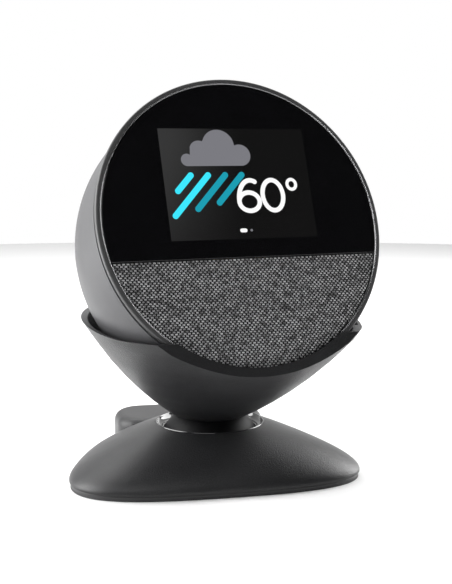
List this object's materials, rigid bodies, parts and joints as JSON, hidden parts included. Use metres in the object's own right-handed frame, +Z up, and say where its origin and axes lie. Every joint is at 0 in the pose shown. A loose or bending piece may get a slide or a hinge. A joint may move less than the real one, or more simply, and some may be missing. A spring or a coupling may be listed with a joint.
{
  "type": "smart display",
  "caption": "Round smart display: a flat glass and cloth face on a ball-shaped body, held in a cup on a neck that tilts and swivels over a heavy flared base.",
  "frame": {"origin": "on the swivel axis, on the underside of the foot mat, at the level of the table", "axes": "+Z up along the swivel axis, -Y towards the base's straight front edge, +X to the right of someone facing the front"},
  "size_m": [0.1175, 0.1181, 0.1529],
  "materials": {
    "head_plastic": "fine satin moulded texture, graphite grey",
    "rim_plastic": "smooth satin, dark grey",
    "cover_glass": "black-backed, polished",
    "speaker_cloth": "open two-tone woven mesh",
    "grille_plastic": "black moulded",
    "frame_plastic": "black structural plastic",
    "screw_steel": "zinc-plated",
    "lcd_glass": "display cell",
    "backlight_plastic": "white light guide in a thin frame",
    "ribbon_film": "amber film",
    "board_laminate": "green solder mask",
    "can_steel": "thin pressed steel",
    "sink_aluminium": "bare",
    "basket_steel": "black",
    "cone_paper": "pressed paper, black",
    "surround_rubber": "soft",
    "magnet_metal": "dark sintered magnet with steel plates",
    "switch_plastic": "black",
    "plate_steel": "zinc-plated steel",
    "pad_rubber": "soft-touch, black",
    "contact_brass": "gold flash",
    "button_plastic": "satin",
    "cradle_plastic": "fine grained soft-touch, charcoal",
    "skirt_plastic": "black, low sheen",
    "collar_gloss": "polished grey",
    "base_plastic": "fine grained soft-touch, charcoal",
    "washer_nylon": "white low-friction sheet",
    "plate_plastic": "black",
    "ballast_iron": "cast weight"
  },
  "bodies": {
    "base": {"swivel_washer": "washer_nylon", "retainer_ring": "plate_steel", "retainer_screws": "screw_steel", "base_shell": "base_plastic", "port_housing": "base_plastic", "power_inlet": "can_steel", "power_board": "board_laminate", "base_plate": "plate_plastic", "foot_mat": "pad_rubber", "ballast": "ballast_iron", "base_screws": "screw_steel", "collar_dish": "collar_gloss"},
    "turntable": {"turntable": "plate_steel", "hinge_pin": "plate_steel", "friction_washers": "contact_brass"},
    "head": {"rim_ring": "rim_plastic", "cover_glass": "cover_glass", "speaker_cloth": "speaker_cloth", "grille_frame": "grille_plastic", "mid_frame": "frame_plastic", "frame_screws": "screw_steel", "lcd_cell": "lcd_glass", "backlight_unit": "backlight_plastic", "display_ribbon": "ribbon_film", "main_board": "board_laminate", "shield_can": "can_steel", "heat_spreader": "sink_aluminium", "speaker_basket": "basket_steel", "speaker_cone": "cone_paper", "speaker_surround": "surround_rubber", "speaker_magnet": "magnet_metal", "rear_shell": "head_plastic", "acoustic_chamber": "frame_plastic", "button_board": "board_laminate", "tact_switches": "switch_plastic", "microphones": "switch_plastic", "latch_plate": "plate_steel", "foot_pad": "pad_rubber", "contact_pads": "contact_brass", "cradle_cup": "cradle_plastic", "cradle_floor": "frame_plastic", "cradle_magnets": "magnet_metal", "cradle_pad": "pad_rubber", "contact_block": "frame_plastic", "spring_contacts": "contact_brass", "neck_skirt": "skirt_plastic", "tilt_stem": "plate_steel", "stem_screws": "screw_steel"},
    "volume_down": {"volume_down_button": "button_plastic"},
    "mute": {"mute_button": "button_plastic"},
    "volume_up": {"volume_up_button": "button_plastic"}
  },
  "joints": [
    {"name": "base_swivel", "type": "hinge", "parent": "base", "child": "turntable", "pos_m": [0, 0, 0.004], "axis": [0, 0, 1], "range_deg": [-180, 160]},
    {"name": "neck_tilt", "type": "hinge", "parent": "turntable", "child": "head", "pos_m": [0, 0, 0.008], "axis": [-0.9848, -0.1736, 0], "range_deg": [-10, 14]},
    {"name": "volume_down_press", "type": "slide", "parent": "head", "child": "volume_down", "axis": [0.3447, -0.2713, -0.8986], "range_m": [0, 0.0005], "stiffness_N_per_m": 900},
    {"name": "mute_press", "type": "slide", "parent": "head", "child": "mute", "axis": [0.0594, -0.3368, -0.9397], "range_m": [0, 0.0005], "stiffness_N_per_m": 900},
    {"name": "volume_up_press", "type": "slide", "parent": "head", "child": "volume_up", "axis": [-0.2311, -0.3729, -0.8986], "range_m": [0, 0.0005], "stiffness_N_per_m": 900}
  ]
}
